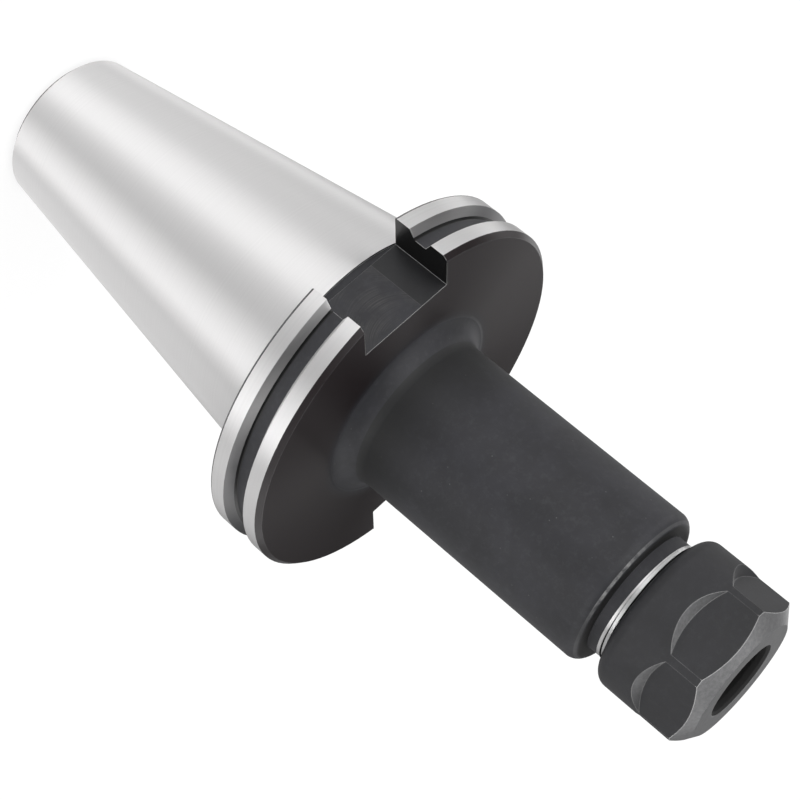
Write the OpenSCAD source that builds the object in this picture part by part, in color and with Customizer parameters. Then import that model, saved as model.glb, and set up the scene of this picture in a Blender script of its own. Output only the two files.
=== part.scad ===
// Collet chuck holder with a 7 in 24 taper shank, a grooved flange and a hexagon clamping nut.
// Sizes are in millimetres. The axis is Z, the gauge line of the taper is at z = 0,
// the shank points down and the nut points up.

/* [Taper shank] */
// Diameter of the taper at the gauge line
gauge_d = 69.85; // [66:0.05:72]
// Length of the shank, from the gauge line to the small end
shank_l = 101.6; // [90:0.1:115]
// Change of diameter in one taper run
taper_rise = 7; // [6.5:0.1:7.5]
// Length of one taper run
taper_run = 24; // [22:0.5:26]
// Bevel round the small end
small_end_bevel = 1.2; // [0.4:0.1:3]

/* [Drawbar hole] */
// Outside diameter of the thread for the retention knob
drawbar_thread_d = 24; // [20:1:25]
// Pitch of the drawbar thread
drawbar_pitch = 3; // [2:0.25:3.5]
// Length of the drawbar thread
drawbar_thread_l = 47; // [35:1:52]
// Diameter of the plain pilot at the mouth
drawbar_pilot_d = 25; // [24.5:0.1:30]
// Depth of the plain pilot
drawbar_pilot_l = 8; // [4:0.5:14]
// Bevel at the mouth of the pilot
drawbar_bevel = 1.2; // [0.4:0.1:2]
// Diameter of the coolant bore between the two threads
coolant_d = 13; // [8:0.5:16]

/* [Flange] */
// Gap between the gauge line and the back of the flange
flange_gap = 3.175; // [2:0.025:5]
// Radial step down from the ground taper into the relief neck
neck_step = 0.5; // [0.2:0.1:1.5]
// Outside diameter of the flange
flange_d = 97.5; // [94:0.1:104]
// Thickness of the flange
flange_t = 15.875; // [14:0.025:20]
// Middle of the gripper groove, from the gauge line
groove_at = 10.85; // [10:0.05:12]
// Width of the groove at the rim
groove_w = 6.5; // [5:0.1:8]
// Depth of the groove
groove_depth = 2.8; // [1.5:0.1:4]
// Angle between each groove wall and the flange faces
groove_angle = 30; // [20:1:40]
// Bevel on the back rim of the flange
rear_rim_bevel = 0.4; // [0.2:0.1:1]
// Bevel on the front rim of the flange
front_rim_bevel = 1.2; // [0.4:0.1:2]

/* [Drive slots] */
// Width of each slot across the flange
slot_w = 25.7; // [20:0.1:30]
// Distance from the axis to the floor of a slot
slot_floor = 36.8; // [36:0.1:42]

/* [Body] */
// Distance from the gauge line to the front of the nut
projection = 120; // [105:0.5:160]
// Diameter of the long body
body_d = 41; // [38:0.1:48]
// Fillet between the flange and the body
body_fillet = 5.5; // [2:0.1:9]
// Rounding of the front end of the body
body_round = 3; // [1:0.1:4]

/* [Nose] */
// Outside diameter of the nose thread
thread_d = 32; // [30:0.5:34]
// Pitch of the nose thread
thread_pitch = 1.5; // [1:0.25:2]
// Length of the plain neck between the body and the thread
plain_neck_l = 3.3; // [2:0.1:6]
// Bevel at the front of the nose
nose_bevel = 1; // [0.3:0.1:2]

/* [Collet seat] */
// Diameter of the seat at the face of the nose
seat_d = 25.8; // [24:0.1:27]
// Length of the seat cone
seat_l = 28; // [22:0.5:32]
// Angle between the seat wall and the axis
seat_angle = 8; // [6:0.5:8.5]

/* [Stop screw] */
// Outside diameter of the stop screw's thread
stop_thread_d = 18; // [16:0.5:18.5]
// Pitch of the stop screw's thread
stop_pitch = 1.5; // [1:0.25:2]
// Length of the stop screw
stop_l = 24; // [16:0.5:30]
// Distance from the bottom of the collet seat to the screw
stop_drop = 18; // [10:0.5:30]
// Length of the bore that carries the screw, below the seat
stop_bore_l = 70; // [60:1:80]
// Width of the hexagon key socket, across its flats
stop_key_w = 10; // [6:0.5:12]
// Depth of the key socket
stop_key_l = 9; // [5:0.5:12]
// Hole through the screw for coolant
stop_hole_d = 5; // [3:0.5:6]
// Bevel at both ends of the screw
stop_bevel = 1; // [0.3:0.1:2]

/* [Clamping nut] */
// Outside diameter of the nut
nut_d = 40.5; // [39:0.1:46]
// Length of the nut
nut_l = 25.4; // [24:0.1:32]
// Gap between the body and the back of the nut
nut_gap = 5; // [4:0.1:9]
// Rounding of the back edge of the nut
nut_round = 3.2; // [1:0.1:3.5]
// Width across the wrench flats
across_flats = 36; // [35.5:0.1:38]
// Number of wrench flats
flats = 6; // [6:2:8]
// Turn of the flats from the line through the drive slots
flats_turn = 10.5; // [0:0.5:30]
// Length of a flat along its middle
flat_l = 13.6; // [10:0.1:18]
// Diameter of the cutter that mills a flat
cutter_d = 48; // [40:1:60]
// Angle between the cutter's rim and its own axis
cutter_angle = 36; // [20:1:45]
// Diameter of the flat ring at the front of the nut
front_ring_d = 31.2; // [26:0.1:34]
// Angle between the front cone and the flat ring
front_angle = 35; // [20:1:45]

/* [Inside of the nut] */
// Diameter of the mouth that the tool passes through
mouth_d = 18.7; // [16:0.1:20]
// Length of the plain wall of the mouth
mouth_l = 1.3; // [0.8:0.1:3]
// Bevel at the front of the mouth
mouth_bevel = 0.7; // [0.3:0.1:1.5]
// Angle between the pressing cone and the axis
press_angle = 30; // [25:1:40]
// Diameter of the snap groove behind the pressing cone
snap_groove_d = 27.2; // [26.6:0.1:28]
// Width of the snap groove
snap_groove_w = 0.8; // [0.5:0.1:1.5]
// Diameter of the extraction lip
lip_d = 25; // [24:0.1:25.5]
// Thickness of the extraction lip
lip_t = 1; // [0.6:0.1:2]
// Sideways shift of the extraction lip
lip_shift = 0.6; // [0.2:0.1:1]
// Diameter of the runout groove at the end of the nut's thread
runout_d = 32.8; // [32.4:0.1:34.5]
// Width of the runout groove
runout_w = 3.4; // [2.5:0.1:5]
// Bevel at the back of the nut's thread
nut_thread_bevel = 0.8; // [0.3:0.1:1.2]

/* [Clearances] */
// Radial play between the nose thread and the nut
thread_fit = 0.1; // [0.05:0.05:0.3]
// Radial play between the stop screw and its bore
stop_fit = 0.1; // [0.05:0.05:0.3]
// Free space between the face of the nose and the extraction lip
lip_gap = 1.9; // [1.7:0.1:4]

/* [Output] */
// Which piece to draw

/* [Hidden] */
$fn = 96;
eps = 0.5;
cut = 1;

gauge_r = gauge_d / 2;
taper_slope = taper_rise / taper_run / 2;
small_r = gauge_r - shank_l * taper_slope;
neck_r = gauge_r - neck_step;
flange_r = flange_d / 2;
flange_front = flange_gap + flange_t;
groove_floor_w = groove_w - 2 * groove_depth * tan(groove_angle);
body_r = body_d / 2;

nut_front = projection;
nut_back = nut_front - nut_l;
body_end = nut_back - nut_gap;
thread_mid_r = mid_radius(thread_d, thread_pitch);
neck_end = body_end + plain_neck_l;

mouth_r = mouth_d / 2;
press_r = snap_groove_d / 2 - 0.5;
press_l = (press_r - mouth_r) / tan(press_angle);
mouth_back = nut_front - mouth_bevel - mouth_l;
press_back = mouth_back - press_l;
snap_back = press_back - snap_groove_w;
lip_back = snap_back - lip_t;
runout_back = lip_back - runout_w;
nose_end = lip_back - lip_gap;

seat_r = seat_d / 2;
seat_end = nose_end - seat_l;
seat_small_r = seat_r - seat_l * tan(seat_angle);
stop_r = mid_radius(stop_thread_d, stop_pitch);
stop_bore_r = stop_r + stop_fit;
stop_bore_end = seat_end - stop_bore_l;
stop_front = seat_end - stop_drop;
stop_back = stop_front - stop_l;
tap_r = mid_radius(drawbar_thread_d, drawbar_pitch);
tap_end = drawbar_pilot_l + drawbar_thread_l - shank_l;
drill_point_l = (tap_r - coolant_d / 2) * tan(31);

black_oxide = "#3b3b3d";
ground_steel = "#c9c9c7";

// Radius at the middle of a thread's depth, where each thread is drawn as a plain cylinder
function mid_radius(diameter, pitch) = diameter / 2 - 0.305 * pitch;

// Half-section of the taper, with its bevelled small end and the relief neck behind the flange
module shank_section() {
  bevel_r = small_r + small_end_bevel * taper_slope;
  polygon([
    [0, -shank_l],
    [small_r - small_end_bevel, -shank_l],
    [bevel_r, small_end_bevel - shank_l],
    [gauge_r, 0],
    [neck_r, 0],
    [neck_r, flange_gap + eps],
    [0, flange_gap + eps]
  ]);
}

// Half-section of the flange with both rim bevels and the gripper groove
module flange_section() {
  polygon([
    [0, flange_gap],
    [flange_r - rear_rim_bevel, flange_gap],
    [flange_r, flange_gap + rear_rim_bevel],
    [flange_r, groove_at - groove_w / 2],
    [flange_r - groove_depth, groove_at - groove_floor_w / 2],
    [flange_r - groove_depth, groove_at + groove_floor_w / 2],
    [flange_r, groove_at + groove_w / 2],
    [flange_r, flange_front - front_rim_bevel],
    [flange_r - front_rim_bevel, flange_front],
    [0, flange_front]
  ]);
}

// Half-section of the long body with its fillet and its rounded end
module body_section() {
  bottom = flange_front - eps;
  translate([0, bottom])
    square([body_r, body_end - body_round - bottom]);
  translate([0, bottom])
    square([body_r - body_round, body_end - bottom]);
  translate([body_r - body_round, body_end - body_round])
    circle(r = body_round);
  difference() {
    translate([body_r - eps, flange_front - eps])
      square([body_fillet + eps, body_fillet + eps]);
    translate([body_r + body_fillet, flange_front + body_fillet])
      circle(r = body_fillet);
  }
}

// Half-section of the plain neck and the nose, drawn at the middle of the thread
module nose_section() {
  plain_r = thread_d / 2 - thread_fit;
  polygon([
    [0, body_end - eps],
    [plain_r, body_end - eps],
    [plain_r, neck_end],
    [thread_mid_r, neck_end],
    [thread_mid_r, nose_end - nose_bevel],
    [thread_mid_r - nose_bevel, nose_end],
    [0, nose_end]
  ]);
}

// One drive slot, open at the rim and at both faces of the flange
module drive_slot() {
  translate([-slot_w / 2, slot_floor, flange_gap - cut])
    cube([slot_w, flange_r - slot_floor + cut, flange_t + 2 * cut]);
}

// Half-section of the hollow: drawbar hole, coolant bore, bore of the stop screw and collet seat
module bore_section() {
  pilot_r = drawbar_pilot_d / 2;
  pilot_end = drawbar_pilot_l - shank_l;
  coolant_r = coolant_d / 2;
  polygon([
    [0, -shank_l - cut],
    [pilot_r + drawbar_bevel, -shank_l - cut],
    [pilot_r + drawbar_bevel, -shank_l],
    [pilot_r, drawbar_bevel - shank_l],
    [pilot_r, pilot_end],
    [tap_r, pilot_end],
    [tap_r, tap_end],
    [coolant_r, tap_end + drill_point_l],
    [coolant_r, stop_bore_end],
    [stop_bore_r, stop_bore_end],
    [stop_bore_r, seat_end],
    [seat_small_r, seat_end],
    [seat_r, nose_end],
    [seat_r, nose_end + cut],
    [0, nose_end + cut]
  ]);
}

// The holder, turned and milled from one bar
module holder_body() {
  color(black_oxide)
    difference() {
      rotate_extrude() {
        shank_section();
        flange_section();
        body_section();
        nose_section();
      }
      rotate_extrude() bore_section();
      for (side = [0, 180])
        rotate([0, 0, side])
          drive_slot();
    }
}

// Half cross-section of the solid nut, before its flats and its hollow
module nut_section() {
  r = nut_d / 2;
  cone_l = (r - front_ring_d / 2) * tan(front_angle);
  translate([r - nut_round, nut_back + nut_round])
    circle(r = nut_round);
  translate([0, nut_back])
    square([r - nut_round, nut_round + eps]);
  translate([0, nut_back + nut_round])
    square([r, nut_l - nut_round - cone_l]);
  polygon([
    [0, nut_front - cone_l - eps],
    [r, nut_front - cone_l],
    [front_ring_d / 2, nut_front],
    [0, nut_front]
  ]);
}

// The path of the cutter over one flat, a cone that stands on the flat
module flat_cut() {
  depth = nut_d / 2;
  rim = cutter_d / 2;
  translate([across_flats / 2, 0, nut_front - flat_l + rim])
    rotate([0, 90, 0])
      cylinder(h = depth, r1 = rim, r2 = rim + depth * tan(cutter_angle));
}

// Half-section of the nut's hollow: thread, runout groove, snap groove, pressing cone and mouth
module nut_bore_section() {
  bore_r = thread_mid_r + thread_fit;
  snap_r = snap_groove_d / 2;
  polygon([
    [0, nut_back - cut],
    [bore_r + nut_thread_bevel, nut_back - cut],
    [bore_r + nut_thread_bevel, nut_back],
    [bore_r, nut_back + nut_thread_bevel],
    [bore_r, runout_back],
    [runout_d / 2, runout_back],
    [runout_d / 2, lip_back],
    [mouth_r, lip_back],
    [mouth_r, snap_back],
    [snap_r, snap_back],
    [snap_r, press_back],
    [press_r, press_back],
    [mouth_r, mouth_back],
    [mouth_r, nut_front - mouth_bevel],
    [mouth_r + mouth_bevel, nut_front],
    [mouth_r + mouth_bevel, nut_front + cut],
    [0, nut_front + cut]
  ]);
}

// The off-centre hole that leaves the extraction lip deeper on one side
module lip_hole() {
  translate([lip_shift, 0, lip_back - eps])
    cylinder(h = lip_t + 2 * eps, d = lip_d);
}

// The one-piece nut: round collar at the back, wrench flats and cone at the front
module clamping_nut() {
  color(black_oxide)
    difference() {
      rotate_extrude() nut_section();
      for (i = [0 : flats - 1])
        rotate([0, 0, 90 + flats_turn + i * 360 / flats])
          flat_cut();
      rotate_extrude() nut_bore_section();
      lip_hole();
    }
}

// Half-section of the stop screw, with its coolant hole
module screw_section() {
  hole_r = stop_hole_d / 2;
  polygon([
    [hole_r, stop_back],
    [stop_r - stop_bevel, stop_back],
    [stop_r, stop_back + stop_bevel],
    [stop_r, stop_front - stop_bevel],
    [stop_r - stop_bevel, stop_front],
    [hole_r, stop_front]
  ]);
}

// The stop screw that limits how far a tool goes in
module stop_screw() {
  color(ground_steel)
    difference() {
      rotate_extrude() screw_section();
      translate([0, 0, stop_back - cut])
        cylinder(h = stop_key_l + cut, d = stop_key_w / cos(30), $fn = 6);
    }
}

holder_body();
clamping_nut();
stop_screw();
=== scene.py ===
# %% [markdown]
# # A collet chuck holder, dressed for its picture
#
# The object is a machine tool holder. It is one bar of steel with a steep ground
# taper at the bottom, a grooved flange, a long blackened body and a threaded nose,
# and a hexagon nut on that nose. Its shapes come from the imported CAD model, which
# this lesson loads as a fixed frame. They could be built again here as meshes, but
# then the picture and the part might drift apart. So here they only get their
# finishes, their threads, light and a camera.

import math
from types import SimpleNamespace

import bmesh
import bpy
from mathutils import Matrix, Vector


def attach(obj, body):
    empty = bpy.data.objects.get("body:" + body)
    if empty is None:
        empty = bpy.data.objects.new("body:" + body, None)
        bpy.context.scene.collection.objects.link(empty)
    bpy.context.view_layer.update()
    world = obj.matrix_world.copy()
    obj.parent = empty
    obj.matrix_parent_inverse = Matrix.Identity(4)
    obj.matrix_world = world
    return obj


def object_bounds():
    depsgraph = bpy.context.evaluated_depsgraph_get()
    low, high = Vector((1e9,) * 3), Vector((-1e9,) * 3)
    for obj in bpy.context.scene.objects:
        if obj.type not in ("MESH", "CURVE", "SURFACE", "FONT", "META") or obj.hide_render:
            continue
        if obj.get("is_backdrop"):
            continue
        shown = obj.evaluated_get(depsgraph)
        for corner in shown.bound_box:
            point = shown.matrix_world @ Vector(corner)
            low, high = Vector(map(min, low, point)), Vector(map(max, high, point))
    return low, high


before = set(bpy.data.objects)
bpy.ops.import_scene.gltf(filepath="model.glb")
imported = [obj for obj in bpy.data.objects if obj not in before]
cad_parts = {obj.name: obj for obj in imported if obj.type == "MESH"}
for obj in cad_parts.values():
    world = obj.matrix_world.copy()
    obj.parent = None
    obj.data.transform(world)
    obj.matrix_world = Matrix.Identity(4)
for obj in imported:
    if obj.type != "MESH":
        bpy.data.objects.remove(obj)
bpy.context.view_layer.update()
holder_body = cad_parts["holder_body"]
clamping_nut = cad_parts["clamping_nut"]
stop_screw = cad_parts["stop_screw"]
print("CAD pieces:", sorted(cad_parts))

# %% [markdown]
# ## Sizes
#
# A Blender scene is in metres, but a machinist thinks in millimetres. So every size
# is written in millimetres here, and one factor turns it into metres where a mesh
# needs them. Z is the axis of the holder, and z = 0 is the gauge line of the taper,
# the ring where it is 69.85 mm across. The finishes need only the places where one
# surface ends and the next begins, and those repeat the sizes of the CAD model.

# %% Sizes of the holder, in millimetres
MM = 0.001
SMALL_END = -101.6
SMALL_END_BEVEL = 1.2
FLANGE_BACK, FLANGE_FRONT = 3.175, 19.05
FLANGE_R = 48.75
RIM_BEVELS = {"back": 0.4, "front": 1.2}
GROOVE = {"back": 7.6, "floor_back": 9.217, "floor_front": 12.483, "front": 14.1}
GROOVE_FLOOR_R = 45.95
SLOT_HALF_WIDTH = 12.85
SLOT_FLOOR = 36.8
FILLET_R = 26.0             # where the fillet of the body meets the flange
BODY_R, BODY_END = 20.5, 89.6
NECK_R, NECK_END = 15.9, 92.9
NOSE_R, NOSE_END = 15.5425, 107.805
NUT_R, MOUTH_R = 20.25, 9.35
NUT_BACK, NUT_FRONT = 94.6, 120.0
print("length over all:", NUT_FRONT - SMALL_END, "mm")

# %% [markdown]
# ## Colours
#
# A colour picked from a finish is an sRGB hex value, the way a screen shows it.
# Blender's sockets want linear light. One function does the change, so that each
# colour in this file can be read as anyone would write it.

# %% From sRGB hex to linear light


def colour(code):
    channels = [int(code[i:i + 2], 16) / 255 for i in (1, 3, 5)]
    linear = [c / 12.92 if c <= 0.04045 else ((c + 0.055) / 1.055) ** 2.4 for c in channels]
    return (*linear, 1.0)


print("mid grey in linear light:", round(colour("#808080")[0], 3))

# %% [markdown]
# ## One helper for nodes
#
# A material is a tree of nodes. Adding one by hand takes three steps: make it, set
# it, link it. This helper takes all three at once. The settings are keyword
# arguments. The inputs are values, or the outputs that feed them, in the order of the
# sockets or under their names. It hands back the output that is asked for. A few
# kinds of node come so often that they get a short name here.

# %% Add a node
MATH = "ShaderNodeMath"
VECTOR_MATH = "ShaderNodeVectorMath"
RANGE = "ShaderNodeMapRange"    # value, from low, from high, to low, to high
NOISE = "ShaderNodeTexNoise"
MIX = "ShaderNodeMix"           # the share is socket 0, the colours are 6 and 7, and output 2
MIX_SHADER = "ShaderNodeMixShader"


def add(tree, kind, inputs=(), output=0, **settings):
    node = tree.nodes.new(kind)
    for name, value in settings.items():
        setattr(node, name, value)
    for socket, value in inputs.items() if isinstance(inputs, dict) else enumerate(inputs):
        if isinstance(value, bpy.types.NodeSocket):
            tree.links.new(value, node.inputs[socket])
        else:
            node.inputs[socket].default_value = value
    return node.outputs[output] if node.outputs else node


def new_material(name):
    material = bpy.data.materials.new(name)
    material.use_nodes = True
    material.node_tree.nodes.clear()
    return material


print("helpers: add, new_material")

# %% [markdown]
# ## Where a point lies on the lathe
#
# Most of this object is turned, so its marks follow the lathe. A point has a height
# z and a distance r from the axis, and the tool leaves one fine ring for each step of
# its feed. On a cylinder the feed runs along z, on a flat face it runs along r, so
# z + r counts the rings on both. All of these are read from the object's own
# coordinates, in millimetres, so they move with the piece and stay where they are
# from every side.

# %% Lathe coordinates in a material


def lathe_place(tree):
    metres = add(tree, "ShaderNodeTexCoord", output="Object")
    mm = add(tree, VECTOR_MATH, {0: metres, "Scale": 1 / MM}, operation="SCALE")
    x, y, z = add(tree, "ShaderNodeSeparateXYZ", (mm,)).node.outputs
    flat = add(tree, VECTOR_MATH, (mm, (1, 1, 0)), operation="MULTIPLY")
    r = add(tree, VECTOR_MATH, (flat,), output="Value", operation="LENGTH")
    feed = add(tree, MATH, (z, r), operation="ADD")
    return SimpleNamespace(mm=mm, x=x, y=y, z=z, r=r, feed=feed)


print("lathe coordinates ready")

# %% [markdown]
# ## Masks
#
# One piece of steel can carry several finishes, and a mask says where each one is: 1
# on it and 0 off it. A mask could be a painted picture, but that needs an unwrapped
# mesh and gets coarse close up. The borders of a turned part lie at known heights and
# radii, so a few comparisons draw them, sharp at any size. The second helper says how
# far a point faces one side of the holder, because a wheel, a bench or a bath seldom
# treats a round thing alike all round.

# %% Masks from limits and from a side


def inside(tree, *limits):
    # Compare gives 1 where a value is within a reach of the middle, and 0 elsewhere
    mask, *others = [
        add(tree, MATH, (value, (low + high) / 2, (high - low) / 2), operation="COMPARE")
        for value, low, high in limits
    ]
    for other in others:
        mask = add(tree, MATH, (mask, other), operation="MULTIPLY")
    return mask


def towards(tree, place, degrees, *limits):
    # The cosine of the angle to that side is 1 on it, 0 a quarter turn away and -1 behind
    side = (math.cos(math.radians(degrees)), math.sin(math.radians(degrees)), 0)
    reach = add(tree, VECTOR_MATH, (place.mm, side), output="Value", operation="DOT_PRODUCT")
    cosine = add(tree, MATH, (reach, place.r), operation="DIVIDE")
    return add(tree, RANGE, (cosine, *limits))


print("masks: inside, towards")

# %% [markdown]
# ## Edges
#
# No real edge is perfectly sharp. A bevel of a few tenths of a millimetre catches a
# thin line of light, and on a blackened part the coating is worn off there first. The
# bevels could be cut into the mesh, but the Bevel node rounds only the shading and
# leaves the CAD mesh as it is. Where its normal leaves the surface's own normal, the
# point is near an edge, and that is the mask for the wear.

# %% Rounded and worn edges
EDGE_R = 0.22


def edges(tree, radius=EDGE_R, flat=0.997, full=0.94):
    # The two normals are this much alike on a flat face, and where an edge is fully worn
    rounded = add(tree, "ShaderNodeBevel", {"Radius": radius * MM}, samples=8)
    own = add(tree, "ShaderNodeNewGeometry", output="Normal")
    likeness = add(tree, VECTOR_MATH, (rounded, own), output="Value", operation="DOT_PRODUCT")
    return rounded, add(tree, RANGE, (likeness, flat, full))


print("edge radius:", EDGE_R, "mm")

# %% [markdown]
# ## Black oxide
#
# The body, the flange and the nut are blackened: a hot salt bath turns the skin of
# the steel into magnetite, about a thousandth of a millimetre thick, and oil fills
# it. To the eye it is matt, near black and slightly uneven, with clouds, a fine
# mottling, some pinholes and specks of dust. The turning marks of the steel still
# show through as faint rings. The tone is built up in layers, each laid over the last
# where its masks say so, because that is how the film and the dirt came to be there.

# %% Layers of black oxide over turned steel
OXIDE_DARK = "#1a1a1e"
OXIDE_LIGHT = "#232328"
SALT = "#38383c"
DUST = "#5c5c5c"
CLOUD_MM = 11.0   # the bath leaves clouds about as wide as a fingertip
MOTTLE_MM = 1.6   # and a fine mottling where salt dried
SPECK_MM = 3.6    # distance between pinholes and specks of dust
FEED_MM = 0.45    # a finishing feed is near 0.15 mm; drawn coarser, or it would be lost


def tint(tree, layers, paint, *masks, share=1.0):
    # Lays a colour over the tone, as far as the share and all the masks let it
    for mask in masks:
        share = add(tree, MATH, (share, mask), operation="MULTIPLY")
    blend = {0: share, 6: layers.tone, 7: paint}
    layers.tone = add(tree, MIX, blend, output=2, data_type="RGBA")


def oxide_layers(tree, place):
    clouds = {"Vector": place.mm, "Scale": 1 / CLOUD_MM, "Detail": 5.0, "Roughness": 0.65}
    clouds = add(tree, NOISE, clouds)
    mottle = {"Vector": place.mm, "Scale": 1 / MOTTLE_MM, "Detail": 4.0, "Roughness": 0.75}
    mottle = add(tree, NOISE, mottle)
    rings = {"W": place.feed, "Scale": 1 / FEED_MM, "Detail": 2.0}
    rings = add(tree, NOISE, rings, noise_dimensions="1D")
    spots = {"Vector": place.mm, "Scale": 1 / SPECK_MM}
    spots = add(tree, "ShaderNodeTexVoronoi", spots, output="Distance")
    speck = add(tree, RANGE, (spots, 0.06, 0.03))
    bumps = add(tree, MATH, (speck, 0.02), operation="MULTIPLY")
    height = add(tree, MATH, (rings, 0.0025, bumps), operation="MULTIPLY_ADD")
    layers = SimpleNamespace(clouds=clouds, tone=colour(OXIDE_DARK), height=height)
    tint(tree, layers, colour(OXIDE_LIGHT), add(tree, RANGE, (clouds, 0.35, 0.65)))
    tint(tree, layers, colour(SALT), add(tree, RANGE, (mottle, 0.5, 0.75, 0.0, 0.4)))
    tint(tree, layers, colour(DUST), speck, share=0.5)
    return layers


print("black oxide from", OXIDE_DARK, "to", OXIDE_LIGHT)

# %% [markdown]
# ## The shine of black oxide
#
# The film hides the metal, so it could be drawn as a dark metal or as a dark coat. A
# metal would mirror the room even at a glance. A coat is closer: some light enters it
# and comes back dark grey, and the rest leaves as a broad, dull shine. So metallic is
# 0, and the IOR stays at the usual 1.5. A roughness near 0.6 is typical of an oiled
# porous skin. The rings of the lathe stretch the shine a little, more on a finer cut.
# Where hands and benches rub, the film is gone and grey steel shows.

# %% Shader and wear of black oxide
WORN_STEEL = "#989897"


def oxide_shader(tree, layers, roughness, rounded, turned=0.0):
    # A porous skin shadows itself, so the plain GGX model suits it: it stays dark at a glance
    bump = {"Height": layers.height, "Distance": MM, "Strength": 1.0, "Normal": rounded}
    return add(tree, "ShaderNodeBsdfPrincipled", {
        "Base Color": layers.tone,
        "Roughness": roughness,
        "Anisotropic": turned,
        "Anisotropic Rotation": 0.25,
        "Tangent": add(tree, "ShaderNodeTangent", direction_type="RADIAL", axis="Z"),
        "Normal": add(tree, "ShaderNodeBump", bump),
    }, distribution="GGX")


def wear(tree, layers, worn):
    # Worn edges are broken up by the clouds, because a hand rubs some places more
    tint(tree, layers, colour(WORN_STEEL), worn, add(tree, RANGE, (layers.clouds, 0.3, 0.7, 0.25, 1.0)))


print("worn places show", WORN_STEEL)

# %% [markdown]
# ## Ground steel
#
# The taper and the rims of the flange are cylindrically ground: a wheel runs round
# the work and leaves hair lines round the axis. They are far too fine to see, but
# they spread each reflection along the axis, so a bright wall shows as a long soft
# band. Blender calls this anisotropy, and it needs no modelled lines. The tangent
# runs round Z, and a quarter turn lays the highlight across the hair lines. Metallic
# is 1, and the roughness is 0.4, as matched on the edges of the bands.

# %% Ground steel
GRIND_MM = 0.6    # hair lines of a grinding wheel are near 0.02 mm; drawn coarser
GRIND_DEPTH = 0.002
GROUND_DARK, GROUND_LIGHT = "#d8d7d7", "#e2e1e1"


def ground_steel(tree, place, rounded, dark=GROUND_DARK, light=GROUND_LIGHT):
    lines = {"W": place.feed, "Scale": 1 / GRIND_MM, "Detail": 6.0, "Roughness": 0.7}
    lines = add(tree, NOISE, lines, noise_dimensions="1D")
    tones = {0: lines, 6: colour(dark), 7: colour(light)}
    bump = {"Height": lines, "Distance": GRIND_DEPTH * MM, "Strength": 1.0, "Normal": rounded}
    return add(tree, "ShaderNodeBsdfPrincipled", {
        "Base Color": add(tree, MIX, tones, output=2, data_type="RGBA"),
        "Metallic": 1.0,
        "Roughness": 0.4,
        "Anisotropic": 1.0,
        "Anisotropic Rotation": 0.25,
        "Tangent": add(tree, "ShaderNodeTangent", direction_type="RADIAL", axis="Z"),
        "Normal": add(tree, "ShaderNodeBump", bump),
    })


print("ground steel from", GROUND_DARK, "to", GROUND_LIGHT)

# %% [markdown]
# ## Ground where it locates, black elsewhere
#
# The bar is blackened all over first, and then ground where it has to fit: the
# taper, both lands of the flange and the collet seat. The walls of the gripper groove
# are only touched by the wheel, and their share of bright ground steel grows towards
# one side as painted light. The nose was cut last, with its thread. The CAD body is
# one solid, so one material carries both finishes, and these masks say where the
# wheel and the tool have been.

# %% Masks of the ground surfaces
RIM = (FLANGE_R - 0.1, FLANGE_R + 0.1)
GROUND = {    # each surface has its heights, then its radii
    "taper": ((SMALL_END + SMALL_END_BEVEL, -0.01), (18, 40)),
    "rear land": ((FLANGE_BACK + RIM_BEVELS["back"] + 0.2, GROOVE["back"]), RIM),
    "front land": ((GROOVE["front"], FLANGE_FRONT - RIM_BEVELS["front"]), RIM),
    "collet seat": ((79.9, NOSE_END - 0.1), (8.8, 13)),
}
GROOVE_WALLS = ((GROOVE["back"], GROOVE["floor_back"]), (GROOVE["floor_front"], GROOVE["front"]))
LIGHTER_WALL_SIDE = 98         # degrees round from X; the walls are painted lighter towards here
THREAD_LAND = 92.42     # the bright land of the thread starts here
LEAD_SIDE = 112.8       # degrees round from X; the tool comes into the thread here
LEAN = 0.0215           # slope of the cut that opens the thread


def ground_mask(tree, place):
    mask = 0.0
    for heights, radii in GROUND.values():
        surface = inside(tree, (place.z, *heights), (place.r, *radii))
        mask = add(tree, MATH, (mask, surface), operation="MAXIMUM")
    return mask


def groove_wall_mask(tree, place):
    beside = add(tree, MATH, (place.x,), operation="ABSOLUTE")
    mask = 0.0
    walls = (place.r, GROOVE_FLOOR_R + 0.05, FLANGE_R - 0.01), (beside, SLOT_HALF_WIDTH + 0.05, 60)
    for heights in GROOVE_WALLS:
        wall = inside(tree, (place.z, *heights), *walls)
        mask = add(tree, MATH, (mask, wall), operation="MAXIMUM")
    # Painted light: the walls get more bright ground steel towards one side
    wall_light_side = towards(tree, place, LIGHTER_WALL_SIDE, 0.45, 0.75, 0.2, 0.66)
    return add(tree, MATH, (mask, wall_light_side), operation="MULTIPLY")


def thread_land_mask(tree, place):
    # The cut follows the pitch of the thread, so the border of the land is a tilted plane
    turn = math.radians(LEAD_SIDE)
    plane = (-LEAN * math.sin(turn), LEAN * math.cos(turn), 1.0)
    level = add(tree, VECTOR_MATH, (place.mm, plane), output="Value", operation="DOT_PRODUCT")
    neck = (place.r, NECK_R - 0.1, NECK_R + 0.1), (place.z, BODY_END + 0.4, NECK_END)
    return inside(tree, (level, THREAD_LAND, THREAD_LAND + 2), *neck)


print("ground:", ", ".join(GROUND))

# %% [markdown]
# ## Marks of the end mill
#
# Each drive slot is cut by an end mill that is narrower than the slot, in two passes
# beside each other. Its edge leaves one fine arc for each step of the feed, and the
# two passes meet in a straight line. The arcs could be scratched into the mesh one by
# one, but a formula draws them all. On the floor of the slot, the height of an arc at
# a distance u from the cutter's centre line is the square root of R squared minus u
# squared. Adding that to z gives a value that is constant along each arc.

# %% Arcs on the floor of a drive slot
CUTTER_R = 10.0
CUTTER_LINE = -2.85       # centre line of the first pass, from the middle of the slot
PASS_LINE = 4.9           # where the second pass begins
ARC_FEED_MM = 0.4         # feed of the cutter in one turn; a finer one would be lost
PATCH_MM = 5.0            # the arcs are rubbed away in patches


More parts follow.
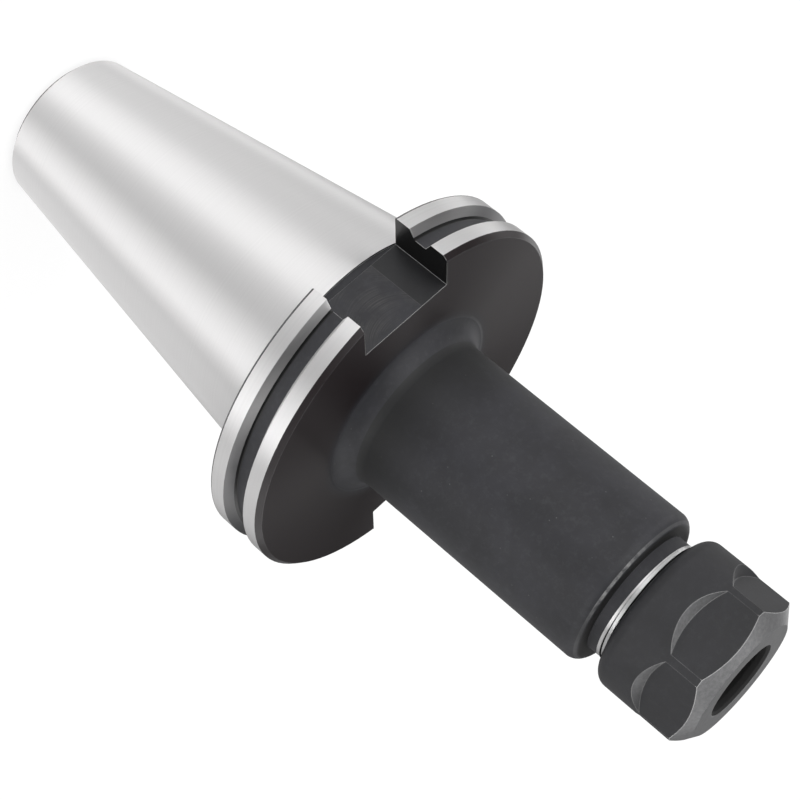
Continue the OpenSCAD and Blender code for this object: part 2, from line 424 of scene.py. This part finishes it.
def cutter_arcs(tree, place, across):
    u = add(tree, MATH, (across, CUTTER_LINE), operation="SUBTRACT")
    u_squared = add(tree, MATH, (u, u), operation="MULTIPLY")
    left = add(tree, MATH, (CUTTER_R ** 2, u_squared), operation="SUBTRACT")
    left = add(tree, MATH, (left, 0.0), operation="MAXIMUM")
    root = add(tree, MATH, (left,), operation="SQRT")
    arc = add(tree, MATH, (place.z, root), operation="ADD")
    lines = {"W": arc, "Scale": 1 / ARC_FEED_MM, "Detail": 3.0, "Roughness": 0.6}
    lines = add(tree, NOISE, lines, noise_dimensions="1D")
    patches = add(tree, NOISE, {"Vector": place.mm, "Scale": 1 / PATCH_MM, "Detail": 3.0})
    lines, patches = add(tree, RANGE, (lines, 0.4, 0.7)), add(tree, RANGE, (patches, 0.4, 0.62))
    return add(tree, MATH, (lines, patches), operation="MULTIPLY")


def slot_marks(tree, place):
    # The same formula serves both slots: across runs the same way in each, seen from outside
    flip = add(tree, MATH, (place.y,), operation="SIGN")
    across = add(tree, MATH, (place.x, flip), operation="MULTIPLY")
    depth = add(tree, MATH, (place.y,), operation="ABSOLUTE")
    beside = add(tree, MATH, (place.x,), operation="ABSOLUTE")
    floor = (depth, SLOT_FLOOR - 0.05, SLOT_FLOOR + 0.05), (place.z, FLANGE_BACK, FLANGE_FRONT - 0.02)
    wall = (beside, SLOT_HALF_WIDTH - 0.05, SLOT_HALF_WIDTH + 0.05), (depth, SLOT_FLOOR + 0.1, FLANGE_R)
    first = inside(tree, *floor, (across, -SLOT_HALF_WIDTH, PASS_LINE))
    return SimpleNamespace(
        arcs=add(tree, MATH, (first, cutter_arcs(tree, place, across)), operation="MULTIPLY"),
        line=inside(tree, *floor, (across, PASS_LINE - 0.06, PASS_LINE + 0.06)),
        second=inside(tree, *floor, (across, PASS_LINE, SLOT_HALF_WIDTH)),
        wall=inside(tree, *wall),
    )


print("arcs every", ARC_FEED_MM, "mm")

# %% [markdown]
# ## The flange
#
# The front face of the flange came off the lathe with a finer cut than the body, and
# the bath left it a little browner and smoother. That face and the bevel round it get
# their own tone here, which fades out on the fillet of the body. The slots get their
# arcs, the line between the two passes and the darker second pass. Their walls, and
# the corner of the gripper groove, are painted near black as painted shade; oil on
# them is drawn only as a lower roughness.

# %% Tones of the flange
blackened_holder = new_material("black_oxide_and_ground_steel")
tree = blackened_holder.node_tree
place = lathe_place(tree)
rounded, worn = edges(tree)
layers = oxide_layers(tree, place)

front = inside(tree, (place.z, FLANGE_FRONT - 0.05, FLANGE_FRONT + 0.05))
past_fillet = add(tree, RANGE, (place.r, FILLET_R - 0.7, FILLET_R + 2))
front = add(tree, MATH, (front, past_fillet), operation="MULTIPLY")
wide = RIM_BEVELS["front"] - 0.01
rim_bevel = (place.z, FLANGE_FRONT - wide, FLANGE_FRONT), (place.r, FLANGE_R - wide, FLANGE_R - 0.01)
face = add(tree, MATH, (front, inside(tree, *rim_bevel)), operation="MAXIMUM")
tint(tree, layers, colour("#160d0e"), face, share=0.85)

marks = slot_marks(tree, place)
tint(tree, layers, colour("#4a4846"), marks.arcs, share=0.5)
tint(tree, layers, colour("#6a6866"), marks.line, share=0.3)
tint(tree, layers, colour("#0b0b0b"), marks.second, share=0.6)
layers.height = add(tree, MATH, (marks.arcs, 0.003, layers.height), operation="MULTIPLY_ADD")

# Painted shade: the slot walls and the corner line of the groove are darkened to near black
corner = (place.z, GROOVE["floor_back"] - 0.35, GROOVE["floor_back"] + 0.25)
corner = inside(tree, corner, (place.r, GROOVE_FLOOR_R - 0.15, GROOVE_FLOOR_R + 0.65))
oil_and_shade = add(tree, MATH, (marks.wall, corner), operation="MAXIMUM")
tint(tree, layers, colour("#050505"), oil_and_shade)
print("flange tones laid")

# %% [markdown]
# ## Wear and painted highlights on the holder
#
# The front edge of the body is the first thing that touches a bench, so its rounding
# carries a thin rubbed line all round. Towards one side that line is broad and
# gritty, and there it is a painted highlight as well as wear. The other edges are
# worn a little, as the Bevel node finds them. It also finds the inner corners, where
# nothing rubs, so those are spared: the groove, the foot of the neck and, in part,
# the two edges of the flange that are broken by a bevel. The creases between the
# floors and walls of the slots are not spared, and their bright line is a painted
# highlight.

# %% Rubbed edges, painted highlights and spared edges
SHEEN_SIDE = 114    # degrees round from X
GRIT_MM = 2.4       # length of the scuffs that a bench top leaves
RUBBED = (BODY_END - 1.0, BODY_END - 0.45)
grit = add(tree, NOISE, {"Vector": place.mm, "Scale": 1 / GRIT_MM, "Detail": 5.0, "Roughness": 0.75})
grit = add(tree, RANGE, (grit, 0.36, 0.6))
# Painted highlight: the rubbed line is broad and bright towards one side
grit_and_sheen_side = add(tree, MATH, (towards(tree, place, SHEEN_SIDE, 0.8, 0.99), grit), operation="MULTIPLY")
grit_and_sheen_side = add(tree, RANGE, (grit_and_sheen_side, 0.0, 1.0, 0.13, 1.0))
rubbed_and_lit_line = inside(tree, (place.z, *RUBBED), (place.r, BODY_R - 2, BODY_R - 0.4))
rubbed_and_lit_line = add(tree, MATH, (rubbed_and_lit_line, grit_and_sheen_side), operation="MULTIPLY")

neck_foot = inside(tree, (place.z, BODY_END - 0.3, BODY_END + 0.3), (place.r, NECK_R - 0.4, NECK_R + 0.4))
back_edge = inside(tree, (place.z, FLANGE_BACK - 0.1, FLANGE_BACK + 0.3))
face_r = FLANGE_R - RIM_BEVELS["front"]
face_edge = (place.z, FLANGE_FRONT - 0.3, FLANGE_FRONT + 0.1), (place.r, face_r - 0.35, face_r + 0.35)
face_edge = inside(tree, *face_edge)
# The slot creases are not in this list, so their bright line stays as a painted highlight
for spot, spared in ((corner, 1.0), (neck_foot, 1.0), (back_edge, 0.65), (face_edge, 0.65)):
    left = add(tree, MATH, (spot, -spared, 1.0), operation="MULTIPLY_ADD")
    worn = add(tree, MATH, (worn, left), operation="MULTIPLY")
wear(tree, layers, add(tree, MATH, (worn, rubbed_and_lit_line), operation="MAXIMUM"))
print("rubbed line", round(RUBBED[1] - RUBBED[0], 2), "mm high at the end of the body")

# %% [markdown]
# ## Painted shade on the holder
#
# Shade is painted near black where it falls: at the foot of the body beside the
# fillet, on the shoulder round the neck and on the nose between the thread ridges.
# This painted shade at the foot fades out up the body.

# %% Painted shade in the corners
SHADE_BLACK = "#060606"
FOOT_LOW, FOOT_FADES, FOOT_TOP = 22.5, 27.0, 40.0
foot = inside(tree, (place.z, FOOT_LOW, FOOT_TOP), (place.r, BODY_R - 0.1, FILLET_R + 0.1))
shoulder = inside(tree, (place.z, BODY_END - 0.3, BODY_END + 0.3), (place.r, NECK_R + 0.3, BODY_R - 1.7))
nose = inside(tree, (place.z, NECK_END + 0.01, NOSE_END - 0.01), (place.r, NOSE_R - 0.15, NOSE_R + 0.15))
tint(tree, layers, colour(SHADE_BLACK), foot, add(tree, RANGE, (place.z, FOOT_FADES, FOOT_TOP, 0.8, 0.0)))
tint(tree, layers, colour(SHADE_BLACK), shoulder)
tint(tree, layers, colour(SHADE_BLACK), nose)
print("dark places:", SHADE_BLACK)

# %% [markdown]
# ## The holder's material
#
# Now the finishes come together. The body is matt, because it was only turned. The
# flange is smoother, and oil makes it smoother still, so the roughness falls from
# 0.62 to 0.3 on the oiled walls and corner that carry painted shade. The front face
# has its own roughness and a strong turned shine, as a facing cut has. Ground steel
# replaces the oxide where the masks say so, but not on those painted-shade places.

# %% Finish of the holder
flange = inside(tree, (place.z, FLANGE_BACK, FLANGE_FRONT + 0.05))
smooth = add(tree, MATH, (flange, 0.5), operation="MULTIPLY")
smooth = add(tree, MATH, (smooth, oil_and_shade), operation="MAXIMUM")
roughness = add(tree, RANGE, (smooth, 0.0, 1.0, 0.62, 0.3))
turned_body = oxide_shader(tree, layers, roughness, rounded, 0.4)
turned_face = oxide_shader(tree, layers, 0.36, rounded, 0.9)
black = add(tree, MIX_SHADER, (face, turned_body, turned_face))

clear_of_oil_and_shade = add(tree, MATH, (1.0, oil_and_shade), operation="SUBTRACT")
bright = add(tree, MATH, (groove_wall_mask(tree, place), clear_of_oil_and_shade), operation="MULTIPLY")
for mask in (ground_mask(tree, place), thread_land_mask(tree, place)):
    bright = add(tree, MATH, (bright, mask), operation="MAXIMUM")
surface = add(tree, MIX_SHADER, (bright, black, ground_steel(tree, place, rounded)))
add(tree, "ShaderNodeOutputMaterial", {"Surface": surface})
holder_body.data.materials.clear()
holder_body.data.materials.append(blackened_holder)
print(blackened_holder.name, "has", len(tree.nodes), "nodes")

# %% [markdown]
# ## Smooth cuts of the nut
#
# The nut is blackened too. Its collar is matt like the body, but the front cone, the
# ring round the mouth and the run-outs of the wrench flats were cut with a sharp
# insert at a high speed, and came out of the bath smoother. They are also painted
# grey, which is a painted reflection. Faces could be picked by number, but the
# numbers change with each build of the CAD model. So the cone is found by its own
# equation, and the run-outs by the cone of the cutter that milled them: six flats,
# each 60 degrees on from the last.

# %% Masks of the nut's smooth cuts
RING_R = 15.6
FRONT_SLOPE = math.tan(math.radians(35))
FLAT_TURN = 100.5       # degrees round from X, to the middle of the first flat
FLAT_AT = 18.0
FLAT_CUTTER_R = 24.0
FLAT_CUTTER_Z = NUT_FRONT - 13.6 + FLAT_CUTTER_R
FLAT_CUTTER_SLOPE = math.tan(math.radians(36))


def front_level(tree, place):
    # Equal to NUT_FRONT all over the flat ring and the cone
    drop = add(tree, MATH, (place.r, RING_R), operation="SUBTRACT")
    drop = add(tree, MATH, (drop, 0.0), operation="MAXIMUM")
    return add(tree, MATH, (drop, FRONT_SLOPE, place.z), operation="MULTIPLY_ADD")


def run_out_mask(tree, place):
    # Fold the six flats onto one
    azimuth = add(tree, MATH, (place.y, place.x), operation="ARCTAN2")
    azimuth = add(tree, MATH, (azimuth,), operation="DEGREES")
    turned = add(tree, MATH, (azimuth, FLAT_TURN - 30), operation="SUBTRACT")
    folded = add(tree, MATH, (turned, 60.0), operation="FLOORED_MODULO")
    folded = add(tree, MATH, (folded, 30.0), operation="SUBTRACT")
    angle = add(tree, MATH, (folded,), operation="RADIANS")
    # Then measure outward from the flat, along it and down from the cutter's axis
    cosine = add(tree, MATH, (angle,), operation="COSINE")
    sine = add(tree, MATH, (angle,), operation="SINE")
    outward = add(tree, MATH, (place.r, cosine), operation="MULTIPLY")
    outward = add(tree, MATH, (outward, FLAT_AT), operation="SUBTRACT")
    along = add(tree, MATH, (place.r, sine), operation="MULTIPLY")
    along_squared = add(tree, MATH, (along, along), operation="MULTIPLY")
    down = add(tree, MATH, (place.z, FLAT_CUTTER_Z), operation="SUBTRACT")
    squares = add(tree, MATH, (down, down, along_squared), operation="MULTIPLY_ADD")
    from_axis = add(tree, MATH, (squares,), operation="SQRT")
    cone = add(tree, MATH, (outward, -FLAT_CUTTER_SLOPE, from_axis), operation="MULTIPLY_ADD")
    return inside(tree, (cone, FLAT_CUTTER_R - 0.07, FLAT_CUTTER_R + 0.07), (outward, 0.04, 3))


print("flats at", [FLAT_TURN + 60 * i for i in range(6)], "degrees")

# %% [markdown]
# ## Tones of the nut
#
# A wrench and bare hands leave faint scuffs on the nut, and more handling makes it a
# little darker than the body. The smooth cuts get a painted reflection in a fine grain
# of two greys. On the run-outs it is strongest on one side of the nut and fades
# towards the other.

# %% Painted reflection and scuffs of the nut
SCUFF_MM = 2.5      # length of a scuff
GRAIN_MM = 0.9      # the grain of a fine cut is near 0.1 mm; drawn coarser
REFLECTION_SIDE = 125     # degrees round from X
blackened_nut = new_material("black_oxide_on_milled_steel")
tree = blackened_nut.node_tree
place = lathe_place(tree)
rounded, worn = edges(tree, radius=0.26, full=0.965)
layers = oxide_layers(tree, place)
scuffs = add(tree, NOISE, {"Vector": place.mm, "Scale": 1 / SCUFF_MM, "Detail": 8.0, "Roughness": 0.8})
tint(tree, layers, colour("#5a5a5a"), add(tree, RANGE, (scuffs, 0.62, 0.8, 0.0, 0.3)))
tint(tree, layers, colour("#101010"), share=0.35)

level = front_level(tree, place)
front = (level, NUT_FRONT - 0.08, NUT_FRONT + 0.08), (place.r, MOUTH_R + 0.15, NUT_R + 0.1)
front = inside(tree, *front)
# Painted reflection: the smooth cuts are painted grey, the run-outs most towards one side
run_outs_on_lit_side = (run_out_mask(tree, place), towards(tree, place, REFLECTION_SIDE, 0.3, 1.0))
run_outs_on_lit_side = add(tree, MATH, run_outs_on_lit_side, operation="MULTIPLY")
smooth = add(tree, MATH, (front, run_outs_on_lit_side), operation="MAXIMUM")
grain = add(tree, NOISE, {"Vector": place.mm, "Scale": 1 / GRAIN_MM, "Detail": 4.0, "Roughness": 0.7})
painted_reflection = SimpleNamespace(tone=colour("#535354"))
tint(tree, painted_reflection, colour("#666667"), add(tree, RANGE, (grain, 0.35, 0.65)))
tint(tree, layers, painted_reflection.tone, smooth, share=0.85)
print("grain every", GRAIN_MM, "mm on the smooth cuts")

# %% [markdown]
# ## The nut's material
#
# The outer edges of the nut are worn by the wrench. The scalloped line between the
# flats and the cone shows bright steel, as wear and as a painted highlight. The rim
# of the mouth gets that painted highlight on one side only. The mouth itself is
# painted near black as painted shade, and made duller. A typical roughness of 0.6
# falls to 0.42 on the smooth cuts.

# %% Finish of the nut
WORN_AND_HIGHLIGHT_STEEL = "#b8b8b8"
MOUTH_BACK, SEEN_R = 109, 12.3      # all that lies inside these is seen through the mouth
# Painted highlight: the rim of the mouth is brightened on one side only
rim = inside(tree, (place.r, MOUTH_R - 0.05, MOUTH_R + 0.45))
rim = add(tree, MATH, (rim, towards(tree, place, REFLECTION_SIDE + 180, 0.82, 0.95)), operation="MULTIPLY")
outer = inside(tree, (place.r, RING_R + 0.4, NUT_R + 0.75))
outer = add(tree, MATH, (outer, rim), operation="MAXIMUM")
worn = add(tree, MATH, (worn, outer), operation="MULTIPLY")
wear(tree, layers, add(tree, MATH, (worn, 0.5), operation="MULTIPLY"))

# Wear and painted highlight: the scalloped line is brightened
scallop = inside(tree, (level, NUT_FRONT - 0.5, NUT_FRONT + 0.2))
scallop = add(tree, MATH, (scallop, rim), operation="MAXIMUM")
broken = add(tree, RANGE, (layers.clouds, 0.3, 0.7, 0.3, 1.0))
tint(tree, layers, colour(WORN_AND_HIGHLIGHT_STEEL), worn, scallop, broken)
# Painted shade: the mouth is darkened to near black
mouth = inside(tree, (place.r, MOUTH_R - 0.45, SEEN_R), (place.z, MOUTH_BACK, NUT_FRONT - 0.1))
tint(tree, layers, colour("#121212"), mouth)

roughness = add(tree, RANGE, (smooth, 0.0, 1.0, 0.6, 0.42))
roughness = add(tree, MATH, (mouth, 0.3, roughness), operation="MULTIPLY_ADD")
add(tree, "ShaderNodeOutputMaterial", {"Surface": oxide_shader(tree, layers, roughness, rounded)})
clamping_nut.data.materials.clear()
clamping_nut.data.materials.append(blackened_nut)
print(blackened_nut.name, "has", len(tree.nodes), "nodes")

# %% [markdown]
# ## Bright threads
#
# The threads are cut after the bath, so their crests are bare turned steel. A sharp
# tool leaves them bright. That is close to ground steel, so the same shader serves,
# a little darker. Below the crest of the nose thread the ridge is painted near black,
# as painted shade in the groove.

# %% Bright steel of the stop screw and the threads
NOSE_CREST = 16.0
bright_steel = new_material("bright_turned_steel")
tree = bright_steel.node_tree
place = lathe_place(tree)
rounded, worn = edges(tree)
bright = ground_steel(tree, place, rounded, "#c8c8c8", "#dcdcdc")
thread_shade = add(tree, "ShaderNodeBsdfPrincipled", {"Base Color": colour(SHADE_BLACK), "Roughness": 0.6})
# Painted shade: below the crest the ridge is near black
flank = inside(tree, (place.r, 15.3, NOSE_CREST - 0.04))
surface = add(tree, MIX_SHADER, (flank, bright, thread_shade))
add(tree, "ShaderNodeOutputMaterial", {"Surface": surface})
stop_screw.data.materials.clear()
stop_screw.data.materials.append(bright_steel)
print("finishes given to", len(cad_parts), "CAD pieces")

# %% [markdown]
# ## Threads
#
# A thread is a ridge that winds round a cylinder. The CAD model draws each thread as
# a plain cylinder at half its depth, so the upper half of the ridge is added here.
# Blender's Screw modifier could wind it, but it can't change the section on the way,
# and the ends need that. So a strip of four points, two on the cylinder and two on
# the crest, is carried round a helix in small steps, and neighbouring strips are
# joined.

# %% Join the sections of a ridge
STEPS_A_TURN = 72
SINK = 0.04     # the ridge starts this far below the cylinder's skin


def ridge(name, sections):
    # Each section is a turn and four points, each with its own r and z in millimetres
    mesh = bmesh.new()
    rings = []
    for turn, points in sections:
        angle = 2 * math.pi * turn
        cosine, sine = math.cos(angle), math.sin(angle)
        rings.append([mesh.verts.new((r * MM * cosine, r * MM * sine, z * MM)) for r, z in points])
    for a, b in zip(rings, rings[1:]):
        for j in range(4):
            k = (j + 1) % 4
            mesh.faces.new((a[j], a[k], b[k], b[j]))
    mesh.faces.new(rings[0])
    mesh.faces.new(list(reversed(rings[-1])))
    bmesh.ops.recalc_face_normals(mesh, faces=mesh.faces)
    data = bpy.data.meshes.new(name)
    mesh.to_mesh(data)
    mesh.free()
    piece = bpy.data.objects.new(name, data)
    bpy.context.scene.collection.objects.link(piece)
    return piece


print("one turn has", STEPS_A_TURN, "steps")

# %% [markdown]
# ## A plain ridge
#
# Most of the threads here are the same all along. Their ridge rises and dies away
# over a fifth of a turn at its ends, where the tool goes in and out. Its foot is half
# of the pitch wide and its crest a little under a fifth, so the flanks lean about as
# those of a metric thread do. A limit cuts the ridge down where the cylinder has a
# bevel.

# %% Sections of a plain ridge
RIDGE_SHAPE = ((-0.25, 0), (-0.09, 1), (0.09, 1), (0.25, 0))    # along the pitch, and how far up
ENDS_A_TURN = 5


def plain_ridge(root_r, crest_r, pitch, low, high, start_turn, limit=None):
    outward = 1 if crest_r > root_r else -1
    base = root_r - outward * SINK
    turns = (high - low) / pitch
    sections = []
    for i in range(int(turns * STEPS_A_TURN) + 1):
        turn = i / STEPS_A_TURN
        rise = max(0.02, min(1.0, turn * ENDS_A_TURN, (turns - turn) * ENDS_A_TURN))
        points = []
        for along, up in RIDGE_SHAPE:
            r = base + (crest_r - base) * rise * up
            z = low + (turn + along) * pitch
            points.append((limit(r, z) if limit else r, z))
        sections.append((turn + start_turn, points))
    return sections


print("plain ridges ready")

# %% [markdown]
# ## The nose thread
#
# The thread of the nose is different, because its start is in view. The tool leaves
# the groove slowly over almost half a turn, so the groove starts as a hair line and
# widens. Before that, the whole land up to the neck stays at full height and is
# bright. Each section lies between the groove of this turn above it and the groove of
# the turn before below it.

# %% Sections of the nose thread
FINE = 1.5                          # pitch
GROOVE_TURN = (LEAD_SIDE + 5) / 360 # turn at which the groove begins to show
GROOVE_Z = 93.0
RUN_OUT = 0.4                       # in turns
HALF_OPENING = 0.41                 # of the pitch, at the crest
FLANK = 0.52                        # sideways for each millimetre of depth


def half_groove(turn):
    # Half-widths of the groove at the crest and below, and how deep it is there
    part = max(0.0, min(1.0, turn / RUN_OUT))
    opening = HALF_OPENING * FINE * part
    depth = min(NOSE_CREST - NOSE_R + SINK, opening / FLANK)
    return opening, opening - FLANK * depth, depth


def nose_sections():
    sections = []
    turns = (NOSE_END - GROOVE_Z) / FINE
    for i in range(int(turns * STEPS_A_TURN) + 1):
        turn = i / STEPS_A_TURN
        opening, inner, depth = half_groove(turn)
        above = GROOVE_Z + turn * FINE
        top = [(NOSE_CREST, above - opening), (NOSE_CREST - depth, above - inner)]
        if turn < 1:
            bottom = [(NOSE_R - SINK, NECK_END), (NOSE_CREST, NECK_END)]
        else:
            opening, inner, depth = half_groove(turn - 1)
            below = above - FINE
            bottom = [(NOSE_CREST - depth, below + inner), (NOSE_CREST, below + opening)]
        # The front bevel of the nose cuts the crest down, and nothing passes its end
        points = [(min(r, NOSE_R - 1.0 + NOSE_END - z), min(z, NOSE_END - 0.05)) for r, z in bottom + top]
        sections.append((turn + GROOVE_TURN, points))
    return sections


print("nose thread has", len(nose_sections()), "sections")

# %% [markdown]
# ## The threaded pairs
#
# The nose and the nut share a fine thread, M32 with 1.5 mm pitch, and the ridge of
# the nut runs in the groove of the nose. The stop screw and its bore do the same with
# an M18. The drawbar hole at the back has a coarse M24 for a retention knob. Each
# ridge could be joined to its solid, but then the threads would block the joints, so
# each is a piece of its own that rides on its body.

# %% Sizes of the threads
COARSE = 3.0    # pitch
NUT_BORE_R, NUT_CREST = 15.6425, 15.19
NUT_LOW, NUT_HIGH = NUT_BACK + 0.9, 105.9
NUT_TURN = GROOVE_TURN + (NUT_LOW - GROOVE_Z) / FINE
STOP_R, STOP_CREST = 8.5425, 9.0
STOP_BACK, STOP_FRONT = 37.805, 61.805
STOP_LOW, STOP_HIGH = STOP_BACK + 0.4, STOP_FRONT - 0.4
STOP_BORE_R, BORE_CREST = 8.6425, 8.19
BORE_LOW, BORE_HIGH = 10.3, 79.4
BORE_TURN = (BORE_LOW - STOP_LOW) / FINE + 0.5
DRAWBAR_R, DRAWBAR_CREST = 11.085, 10.38
DRAWBAR_LOW, DRAWBAR_HIGH = -92.7, -47.4


def at_nut(r, z):
    return max(r, NUT_BORE_R + 0.8 - (z - NUT_BACK))


def at_screw(r, z):
    return min(r, STOP_R - 1.0 + min(z - STOP_BACK, STOP_FRONT - z))


print("nut ridge starts", round(NUT_LOW - NUT_BACK, 1), "mm inside the nut")

# %% Nose, nut, stop screw and drawbar threads
THREADS = {
    "nose_thread": ("holder", "holder_steel", nose_sections()),
    "nut_thread": ("nut", "nut_steel", plain_ridge(
        NUT_BORE_R, NUT_CREST, FINE, NUT_LOW, NUT_HIGH, NUT_TURN, at_nut)),
    "stop_screw_thread": ("stop", "screw_steel", plain_ridge(
        STOP_R, STOP_CREST, FINE, STOP_LOW, STOP_HIGH, 0.0, at_screw)),
    "stop_bore_thread": ("holder", "holder_steel", plain_ridge(
        STOP_BORE_R, BORE_CREST, FINE, BORE_LOW, BORE_HIGH, BORE_TURN)),
    "drawbar_thread": ("holder", "holder_steel", plain_ridge(
        DRAWBAR_R, DRAWBAR_CREST, COARSE, DRAWBAR_LOW, DRAWBAR_HIGH, 0.0)),
}
for name, (body, slot, sections) in THREADS.items():
    piece = ridge(name, sections)
    piece.data.materials.append(bright_steel)
    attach(piece, body)
    print(name, "has", len(piece.data.polygons), "faces")

# %% [markdown]
# ## Floor
#
# The holder stands on its small end on a plain floor of white painted board. To a
# camera the floor mixes its own colour with an even white, so that it stays white and
# still keeps a soft shadow. A brighter lamp would do that too, but it would bleach
# the steel. To a reflection the floor is a white sheet that ends a little way out,
# and the steel shows that too.

# %% White floor
FLOOR_HALF = 6.0    # metres
FLOOR_GAP = 0.02    # so that the floor and the small end never share a plane
SHEET_R = 250       # the white sheet ends here, over the next 20 mm
SELF_WHITE = 0.8    # share of even white to a camera, at the level that makes it full white
SELF_LEVEL = 1.08
floor_z = (SMALL_END - FLOOR_GAP) * MM
corners = ((-1, -1), (1, -1), (1, 1), (-1, 1))
corners = [(x * FLOOR_HALF, y * FLOOR_HALF, floor_z) for x, y in corners]
floor_mesh = bpy.data.meshes.new("floor")
floor_mesh.from_pydata(corners, [], [(0, 1, 2, 3)])
floor = bpy.data.objects.new("floor", floor_mesh)
bpy.context.scene.collection.objects.link(floor)
floor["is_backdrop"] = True
print("floor at", SMALL_END, "mm")

# %% Finish of the floor
white_floor = new_material("white_painted_board")
tree = white_floor.node_tree
board = add(tree, "ShaderNodeBsdfDiffuse", {"Color": colour("#ededed")})
rays = add(tree, "ShaderNodeLightPath").node.outputs
to_camera = add(tree, MATH, (rays["Is Camera Ray"], SELF_LEVEL), operation="MULTIPLY")
sheet = add(tree, RANGE, (lathe_place(tree).r, SHEET_R, SHEET_R + 20, 1.0, 0.5))
strength = add(tree, MATH, (to_camera, sheet), operation="MAXIMUM")
glow = add(tree, "ShaderNodeEmission", {"Color": colour("#ffffff"), "Strength": strength})
share = add(tree, MATH, (rays["Is Camera Ray"], SELF_WHITE), operation="MULTIPLY")
for ray in ("Is Glossy Ray", "Is Transmission Ray"):
    share = add(tree, MATH, (share, rays[ray]), operation="MAXIMUM")
surface = add(tree, MIX_SHADER, (share, board, glow))
add(tree, "ShaderNodeOutputMaterial", {"Surface": surface})
floor.data.materials.append(white_floor)
print(white_floor.name, "has", len(tree.nodes), "nodes")

# %% [markdown]
# ## Light
#
# Polished steel is a picture of the room it stands in: its bands are the windows,
# boxes and walls of the studio. A few lamps would give hard, lonely highlights. So
# the room is painted on the world, and the whole of it gives the light. It has five
# belts, one above the other, and each belt gives how bright the room is in steps of
# 20 degrees round the holder, beside a white sheet, which is 1. The numbers were
# worked out from the bands on the ground taper, which mirrors the room once round.

# %% Belts of the studio
BELTS_START = 112.8     # degrees round from X
BRIGHTEST = 10.0        # a colour ramp holds up to 1, so the levels are divided by this
# Each belt: the heights in degrees between which it takes over from the belt below,
# and then its levels, anticlockwise from above
BELTS = (
    ((-2, -1), (1.9, 2.2, 5.6, 6.3, 1.6, 1.4, 1.5, 0.0, 0.0, 0.8, 2.2, 0.1, 4.4, 2.6, 3.8, 1.4, 1.6, 2.5)),
    ((8, 16), (1.9, 0.0, 1.3, 3.2, 0.5, 1.6, 0.3, 1.4, 0.0, 0.0, 0.8, 0.0, 0.0, 0.0, 0.0, 2.3, 4.5, 6.3)),
    ((25, 35), (0.0, 0.0, 0.0, 0.0, 0.0, 0.9, 0.9, 2.9, 0.0, 0.0, 0.5, 0.0, 0.0, 0.0, 0.0, 1.6, 2.0, 0.0)),
    ((50, 60), (0.0, 0.0, 0.0, 0.0, 0.0, 0.0, 0.7, 1.4, 2.1, 2.9, 2.8, 2.8, 3.2, 3.6, 3.5, 3.5, 1.8, 0.0)),
    ((76, 84), (1.5,) * 18),
)
print("belts:", len(BELTS), "with", len(BELTS[0][1]), "levels each")

# %% Direction of a ray in the world
world = bpy.data.worlds.new("studio")
bpy.context.scene.world = world
world.use_nodes = True
tree = world.node_tree
tree.nodes.clear()
direction = add(tree, "ShaderNodeTexCoord", output="Generated")
east, north, up = add(tree, "ShaderNodeSeparateXYZ", (direction,)).node.outputs
height = add(tree, MATH, (up,), operation="ARCSINE")
height = add(tree, MATH, (height,), operation="DEGREES")
turn = add(tree, MATH, (north, east), operation="ARCTAN2")
turn = add(tree, MATH, (turn,), operation="DEGREES")
turn = add(tree, MATH, (turn, BELTS_START), operation="SUBTRACT")
turn = add(tree, MATH, (turn, 360.0), operation="FLOORED_MODULO")
part_round = add(tree, MATH, (turn, 360.0), operation="DIVIDE")
print("world:", world.name)

# %% Paint the belts
room = colour("#000000")
for (low, high), levels in BELTS:
    belt = add(tree, "ShaderNodeValToRGB", {"Fac": part_round})
    stops = belt.node.color_ramp.elements
    stops[0].color = stops[1].color = (*[levels[0] / BRIGHTEST] * 3, 1.0)
    for i in range(1, len(levels)):
        stops.new(i / len(levels)).color = (*[levels[i] / BRIGHTEST] * 3, 1.0)
    above = add(tree, RANGE, (height, low, high))
    room = add(tree, MIX, {0: above, 6: room, 7: belt}, output=2, data_type="RGBA")
studio = add(tree, "ShaderNodeBackground", {"Color": room, "Strength": BRIGHTEST})
white = add(tree, "ShaderNodeBackground", {"Color": colour("#ffffff"), "Strength": 1.0})
to_camera = add(tree, "ShaderNodeLightPath", output="Is Camera Ray")
surface = add(tree, MIX_SHADER, (to_camera, studio, white))
add(tree, "ShaderNodeOutputWorld", {"Surface": surface})
print("the studio has", len(tree.nodes), "nodes")

# %% [markdown]
# ## Camera
#
# The picture looks down on the holder from its nut side, about 21 degrees above the
# level of the flange, and it was turned so that the axis runs from one corner to the
# other. The holder could be laid at a slant, but it stands on its end here, as it
# would on a shelf. So the camera is aimed at the flange first and then rolled about
# its own view. The colours are shown as they are, with no film curve.

# %% Camera at the picture's angle
CAMERA_AT = (-0.171389, 0.407962, 0.188704)     # metres
AIM_AT = (-0.000301, -0.000126, 0.016751)
ROLL = 129.629                                  # degrees
LENS, SENSOR = 90.407, 36.0                     # millimetres

camera_data = bpy.data.cameras.new("camera")
camera_data.lens = LENS
camera_data.sensor_width = SENSOR
camera_data.clip_start = 0.01
camera = bpy.data.objects.new("camera", camera_data)
bpy.context.scene.collection.objects.link(camera)
view = Vector(AIM_AT) - Vector(CAMERA_AT)
upright = view.to_track_quat("-Z", "Y").to_matrix().to_4x4()
camera.matrix_world = Matrix.Translation(CAMERA_AT) @ upright @ Matrix.Rotation(math.radians(ROLL), 4, "Z")
bpy.context.scene.camera = camera
bpy.context.scene.view_settings.view_transform = "Standard"
print("camera", round(view.length, 3), "m from the flange")

# %% [markdown]
# ## Finish
#
# The size of the dressed model is printed, in millimetres, without the floor. The
# dressed model must stay in the box of the CAD model.

# %% Boxes and finish
low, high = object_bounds()
print("visual model:", [round((b - a) / MM, 1) for a, b in zip(low, high)], "mm")
